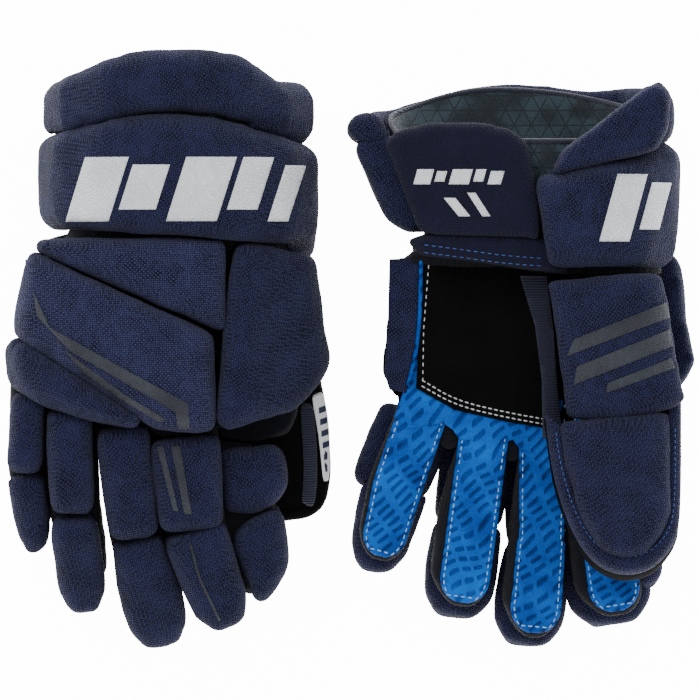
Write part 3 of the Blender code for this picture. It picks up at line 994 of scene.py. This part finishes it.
# Outline of each thumb, and the angle in degrees that it is tilted by.
THUMBS = {
    "right": ([(22, 10), (30, -26), (42, -46), (58, -54), (80, -54), (97, -51), (105, -42), (107, -18),
               (104, 16), (97, 44)], 8.0),
    "left": ([(17, 8), (21, -29), (32, -64), (46, -84), (62, -90), (78, -87), (90, -75), (96, -60),
              (97, 10), (97, 30)], 15.0),
}
THUMB_HINGE = (3, -22)   # v and w
# Levels of the sleeve and its rim: the scale of the outline there, and the depth w.
SLEEVE_LEVELS = [(0.72, -5.2), (0.93, -5.4), (0.995, -8), (1.0, -15), (1.0, -24), (0.94, -28.2),
                 (0.72, -28.6)]
RIM_LEVELS = [(0.975, -23.5), (0.995, -24), (1.0, -27), (0.995, -31), (0.96, -34), (0.88, -35),
              (0.78, -34.5)]


def thumb_place(side, u, v, w):
    """Thumb pieces lie tilted about the thumb's hinge."""
    angle = math.radians(THUMBS[side][1])
    hinge_v, hinge_w = THUMB_HINGE
    along = (v - hinge_v) * math.cos(angle) - (w - hinge_w) * math.sin(angle)
    out = (v - hinge_v) * math.sin(angle) + (w - hinge_w) * math.cos(angle)
    return place(side, u, hinge_v + along, hinge_w + out)


def build_thumb(side):
    """Thumb sleeve with a canvas rim round its edge and a closed inside and outside."""
    outline = smooth_path(THUMBS[side][0])
    centre = sum(outline, Vector((0, 0))) / len(outline)

    def level(scale, w):
        spots = [centre + (spot - centre) * scale for spot in outline]
        return [thumb_place(side, u, v, w) for u, v in spots]

    data = finished(loft([level(*row) for row in SLEEVE_LEVELS], closed=False), wall=1.6)
    crumple(data, 0.0005, 0.014, 9.0)
    sleeve = add_piece(f"{side}_thumb_shell", data, "black", f"{side}_thumb")
    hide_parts(f"{side}_thumb_sleeve")
    data = finished(loft([level(*row) for row in RIM_LEVELS], closed=False), wall=1.4)
    add_piece(f"{side}_thumb_rim", data, "canvas_low", f"{side}_thumb")
    for label, w in (("inner", -5.0), ("outer", -28.5)):
        mesh = bmesh.new()
        mesh.faces.new([mesh.verts.new(point) for point in level(0.75, w)])
        add_piece(f"{side}_thumb_{label}", finished(mesh, 1.4, 0), "black", f"{side}_thumb")


# ---- cuff


def cushion(side, outline, inner, outer, voxel=0.003):
    """A soft pad standing on an outline in u and v, from one depth w to another."""
    levels = [(1.0, inner), (1.0, inner + (outer - inner) * 0.7), (0.9, outer)]
    centre = sum((Vector(p) for p in outline), Vector((0, 0))) / len(outline)
    rings = []
    for scale, w in levels:
        ring = []
        for spot in outline:
            u, v = centre + (Vector(spot) - centre) * scale
            ring.append(place(side, u, v, w))
        rings.append(ring)
    mesh = loft(rings, caps=True)
    bmesh.ops.triangulate(mesh, faces=mesh.faces)
    data = refine(even_mesh(mesh, voxel, 3))
    crumple(data, 0.0007, 0.02, 4.0)
    return data


# Outlines in u and v: where the flare turns round the thumb side, and its end on the palm side.
FLARE_TURNS = {
    "left": [(73, 172), (74, 197), (83, 205), (91, 199), (90, 178), (84, 169)],
    "right": [(76, 174), (76, 197), (86, 204), (94, 197), (94, 180), (88, 170)],
}
FLARE_ENDS = {
    "left": [(18, 149), (26, 166), (50, 184), (72, 201), (84, 207.5), (91, 200), (90, 180), (83, 166),
             (56, 160), (30, 153)],
    "right": [(30, 156), (36, 170), (56, 184), (74, 200), (86, 204), (93, 198), (94, 180), (88, 168),
              (60, 163), (44, 158)],
}
TAB_FOOT = [(-66, 113), (-50, 118), (16, 116), (30, 103), (30, 93), (8, 95), (-10, 98), (-30, 101),
            (-58, 104)]
CUFF_FOOT = 121


def build_cuff(side):
    """Lining with its bound edge, the flare's rolled ends and the palm tab, which it returns."""
    body = f"{side}_cuff"
    top, fall = FLARE_CREST[side]

    def crest(u, w):
        if w > 8:
            uneven = 7 * smooth_step(-u / 46) if side == "left" else 0
            return top - 2 - fall * (u - 12) ** 2 - uneven
        return 172 if w < 0 else 184

    def share(part):
        return lambda u, w: CUFF_FOOT + (crest(u, w) - CUFF_FOOT) * part

    rings = [cuff_ring(side, 0.95, share(part)) for part in (0, 0.25, 0.5, 0.75, 1.0)]
    data = finished(loft(rings), wall=1.8, levels=2)
    crumple(data, 0.0007, 0.02, 6.0)
    lining = add_piece(f"{side}_cuff_lining", data, "lining", body)
    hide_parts(f"{side}_cuff_liner")
    edge = cuff_ring(side, 0.965, crest)
    path = []
    for i, point in enumerate(edge):
        after = edge[(i + 1) % len(edge)]
        path += [point, point.lerp(after, 0.33), point.lerp(after, 0.67)]
    for _ in range(3):
        path = [(path[i - 1] + path[i] * 2 + path[(i + 1) % len(path)]) / 4 for i in range(len(path))]
    add_piece(f"{side}_cuff_binding", cord_along(path, 1.7, True), "binding", body)

    rolls = {"end": (FLARE_ENDS[side], -22, -45), "turn": (FLARE_TURNS[side], 3, -36)}
    for name, shape in rolls.items():
        roll = add_piece(f"{side}_cuff_flare_{name}", cushion(side, *shape), "canvas", body)
    foot = add_piece(f"{side}_cuff_tab_foot", cushion(side, TAB_FOOT, -14, -30, 0.0022), "tab")
    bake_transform(foot)

    node = f"{side}_cuff_palm_tab"
    data = refine(remeshed(node, 0.0025, 2))
    swell(data, node, 0.0008)
    tab = add_piece(f"{side}_cuff_tab", data, "tab", body)
    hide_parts(node)
    return tab


# ---- webs, rim, labels and prints


INDEX_GUSSET = {
    "right": [(36, -6), (60, -8), (73, -12), (77, -30), (74, -44), (76, -56), (77, -76), (68, -98),
              (56, -99), (45, -80), (38, -50)],
    "left": [(60, -4), (80, -8), (88, -14), (88, -34), (84, -48), (86, -62), (88, -80), (80, -88),
             (70, -70), (62, -44)],
}


def build_webs(side):
    """Stretch cloth, tinted near-black with painted shade, between the roots of the fingers and along the
    index finger.
    """
    fingers = [Finger(side, name) for name in FINGERS]
    x0, y0, _ = GLOVES[side][0]
    for near, far in zip(fingers, fingers[1:]):
        root = (near.knuckle + far.knuckle) / 2 / MM - Vector((x0, y0, 0))
        lean = (near.axes(0)[1] + far.axes(0)[1]).normalized()
        across = Vector((-lean.y, lean.x))
        outline = []
        for forward, half in ((-12, 12), (-12, -12), (6, -9), (13, -5), (16, 0), (13, 5), (6, 9)):
            spot = Vector((root.x, root.y)) + Vector((lean.x, lean.y)) * forward + across * half
            outline.append((spot.x, spot.y))
        web = add_piece(f"{near.name}_web", cushion(side, outline, 2, 19, 0.002), "stretch", f"{side}_hand")
    fork = cushion(side, [(34, 26), (84, 30), (88, 12), (82, -2), (60, -8), (40, -4)], 14, -12)
    add_piece(f"{side}_thumb_fork", fork, "stretch", f"{side}_hand")
    index = fingers[-1]
    data = cushion(side, INDEX_GUSSET[side], 3, 17)
    crumple(data, 0.0012, 0.007, 2.0)
    gusset = add_piece(f"{side}_index_side_gusset", data, "stretch")
    hinge_blend(gusset, index, False)


def ribbon(side, inner, outer, w_inner, w_outer, look, name):
    """A strip on the thumb between two edges given in the thumb's plane."""
    rows = []
    for (u0, v0), (u1, v1) in zip(inner, outer):
        row = []
        for share in (0, 0.33, 0.67, 1):
            w = w_inner + (w_outer - w_inner) * share + 0.8 * math.sin(share * math.pi)
            row.append(thumb_place(side, u0 + (u1 - u0) * share, v0 + (v1 - v0) * share, w))
        rows.append(row)
    return add_piece(name, finished(loft(rows, closed=False), 1.2, 1), look, f"{side}_thumb")


def build_thumb_trim(side):
    """Navy strip along the thumb's outer edge, with a white label that carries plain bars."""
    move_u, move_v = (0, 0) if side == "right" else (-9.6, -24)

    def moved(path):
        return [(u + move_u, v + move_v) for u, v in path]

    inner = [(83, 46), (88, 20), (91, -10), (91, -30), (89, -42)]
    outer = [(94, 48), (97, 20), (99.5, -10), (99.5, -34), (97, -46)]
    if side == "right":
        inner, outer = inner[1:], outer[1:]
    ribbon(side, moved(inner), moved(outer), -3.6, -4.4, "webbing", f"{side}_thumb_edge_strip")
    inner = [(95, 24), (98.5, 8), (101, -10), (102.5, -30)]
    outer = [(103, 26), (106, 10), (107.4, -8), (106.5, -30)]
    label = ribbon(side, moved(inner), moved(outer), -3.8, -7.6, "label", f"{side}_thumb_label")
    bars = []
    for k in range(6):
        u, v = 100.2 + 0.75 * k, 13 - 7 * k
        bars.append(moved([(u, v), (u + 4, v + 1.5), (u + 4.1, v - 2.0), (u + 0.1, v - 3.5)]))
    print_on(f"{side}_thumb_label_bars", side, bars, label, False, "navy_thread", f"{side}_thumb", 0.3)
    outline, _ = THUMBS[side]
    centre = sum((Vector(p) for p in outline), Vector((0, 0))) / len(outline)
    path = [centre + (Vector(p) - centre) * 0.9 for p in outline]
    path = [p for p in smooth_path(path) if p.y < -6]
    tilt = math.cos(math.radians(THUMBS[side][1]))
    path = [(p.x, THUMB_HINGE[0] + (p.y - THUMB_HINGE[0]) * tilt + 7) for p in path]
    rim = bpy.data.objects[f"{side}_thumb_rim"]
    body = f"{side}_thumb"
    stitches(f"{side}_thumb_rim_thread", side, path, rim, True, "blue_thread", body, 3.4, 2.2, 0.35)


def slanted_bars(u0, v0, height, widths, gap, lean):
    """Plain slanted blocks in a row, each as wide as given."""
    bars = []
    u = u0
    for i, width in enumerate(widths):
        base = v0 + (height * 0.18 if i % 2 else 0)
        top = v0 + height - (height * 0.12 if i % 3 == 1 else 0)
        shift = lean * (top - base) / height
        bars.append([(u, base), (u + width, base), (u + width + shift, top), (u + shift, top)])
        u += width + gap
    return bars


# Outlines of the grey prints, in u and v.
BACKHAND_STRIPES = {
    "print": ([(-69, 83), (-59, 61), (-39, 50), (-14, 36), (23, 16), (24, 1), (17, 1), (15.5, 11),
               (-21, 32), (-47, 47), (-67, 68)], 0.35),
    "print_thin": ([(-56, 55), (-53, 50), (-36, 37), (-14, 21), (8, 8), (9, 5.5), (6, 5), (-16, 17.5),
                    (-39, 33.5)], 0.3),
}
INDEX_STRIPES = {
    "proximal": ("print", [[(4, -9.5), (8, -9.5), (17, -48), (14, -48)],
                           [(12.5, -9.5), (18, -9.5), (25, -50), (20.5, -50)]]),
    "distal": ("print_tip", [[(23, -67), (24.4, -67), (30, -88), (42, -113), (40.6, -114), (28.4, -88)]]),
}
THUMB_STRIPES = [[(29, 44), (33, 54), (88, 76), (90, 67)], [(33, 27), (35, 38), (90, 60), (92, 50)],
                 [(52, 22), (53, 28), (91, 43), (93, 37)]]


def build_back_prints(side):
    """Grey shapes on the back of the hand, and on the right glove's index finger."""
    hand = f"{side}_hand"
    middle = PADS[f"{side}_backhand_middle_pad"]
    for name, (outline, lift) in BACKHAND_STRIPES.items():
        print_on(f"{side}_backhand_{name}", side, [outline], middle, False, "grey_print", hand, lift)
    if side == "right":
        for part, (name, stripes) in INDEX_STRIPES.items():
            body = f"right_index_{part}"
            pad = PADS[f"{body}_pad"]
            print_on(f"right_index_{name}", side, stripes, pad, False, "grey_print", body, 0.3)


def build_palm_prints(side, tab):
    """White blocks on the band and the tab, stripes on the thumb's base, and thread under the tab."""
    cuff = f"{side}_cuff"
    band = PADS[f"{side}_cuff_band_pad"]
    blocks = slanted_bars(-50, 124, 38, (26, 22, 30, 18, 12), 6, 12)
    print_on(f"{side}_cuff_blocks", side, blocks, band, False, "white_print", cuff)
    blocks = slanted_bars(48, 112, 40, (18, 12), 6, 11)
    print_on(f"{side}_cuff_blocks_palm", side, blocks, band, True, "white_print", cuff)
    shift = 0 if side == "left" else 14
    blocks = slanted_bars(-62 + shift, 146, 9, (10, 6, 12, 6, 8), 2.5, 2.5)
    for start, end, top, width in ((-44, -35, 138, 7), (-30, -21, 141, 5)):
        u, low = start + shift, end + shift
        blocks.append([(u, top), (u + width, top), (low + width, 127), (low, 127)])
    print_on(f"{side}_cuff_tab_mark", side, blocks, tab, True, "white_print", cuff, 0.3)
    base = PADS[f"{side}_thumb_base_pad"]
    print_on(f"{side}_thumb_base_print", side, THUMB_STRIPES, base, True, "grey_print", f"{side}_hand", 0.3)
    foot = bpy.data.objects[f"{side}_cuff_tab_foot"]
    for row, fall in enumerate((0, 4.5)):
        path = smooth_path([(-54, 110 - fall), (-30, 107 - fall), (-10, 104 - fall), (16, 102 - fall)])
        name = f"{side}_cuff_foot_thread_{row}"
        thread = stitches(name, side, path, foot, True, "blue_thread", None, 4.2, 2.6, 0.35)
        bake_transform(thread)


# ---- camera, floor and light


LIGHTS = {"key": ((-0.7, 0.9, 1.3), 0.9, 16), "fill": ((0.9, 0.2, 1.4), 1.2, 7),
          "low": ((0.1, -1.2, 0.9), 0.9, 5)}
FLOOR_GLOW = 2.6          # on the gloves
FLOOR_EXTRA_GLOW = 11.0   # to the camera


def white_floor():
    """A pure white floor that lights the gloves only softly."""
    bpy.ops.mesh.primitive_plane_add(size=6, location=(0, 0, 0))
    floor = bpy.context.object
    floor.name = "studio_floor"
    material = bpy.data.materials.new("studio_floor")
    material.use_nodes = True
    tree = material.node_tree
    shader = tree.nodes["Principled BSDF"]
    shader.inputs["Base Color"].default_value = (0.93, 0.93, 0.93, 1)
    shader.inputs["Roughness"].default_value = 0.9
    shader.inputs["Emission Color"].default_value = (1, 1, 1, 1)
    seen = tree.nodes.new("ShaderNodeLightPath")
    glow = tree.nodes.new("ShaderNodeMath")
    glow.operation = "MULTIPLY_ADD"
    glow.inputs[1].default_value = FLOOR_EXTRA_GLOW
    glow.inputs[2].default_value = FLOOR_GLOW
    tree.links.new(seen.outputs["Is Camera Ray"], glow.inputs[0])
    tree.links.new(glow.outputs[0], shader.inputs["Emission Strength"])
    floor.data.materials.append(material)
    floor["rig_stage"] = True


def set_stage():
    white_floor()
    world = bpy.data.worlds.new("studio")
    bpy.context.scene.world = world
    world.use_nodes = True
    world.node_tree.nodes["Background"].inputs[0].default_value = (1, 1, 1, 1)
    world.node_tree.nodes["Background"].inputs[1].default_value = 0.75
    for name, (spot, size, power) in LIGHTS.items():
        data = bpy.data.lights.new(name, "AREA")
        data.size = size
        data.energy = power
        light = bpy.data.objects.new(name, data)
        light.location = spot
        light.rotation_euler = (-Vector(spot)).to_track_quat("-Z", "Y").to_euler()
        bpy.context.scene.collection.objects.link(light)
    data = bpy.data.cameras.new("photo_view")
    camera = bpy.data.objects.new("photo_view", data)
    height, view_width, subject = 5.0, 0.4172, 0.08
    data.sensor_width = 36
    data.lens = 36 * (height - subject) / view_width
    data.clip_end = 20
    camera.location = (-0.00075, 0.00005, height)
    bpy.context.scene.collection.objects.link(camera)
    bpy.context.scene.camera = camera


def settle_on_floor():
    """Soft pieces flatten where they meet the surface that the gloves lie on."""
    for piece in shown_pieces():
        if piece.type != "MESH" or "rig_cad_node" in piece:
            continue
        for point in piece.data.vertices:
            point.co.z = max(point.co.z, 0.0)


set_stage()
PADS = build_pads()
for side in GLOVES:
    build_hand(side)
    build_fingers(side)
    build_palm(side)
    build_thumb(side)
    build_webs(side)
    build_thumb_trim(side)
    tab = build_cuff(side)
    build_back_prints(side)
    build_palm_prints(side, tab)

settle_on_floor()
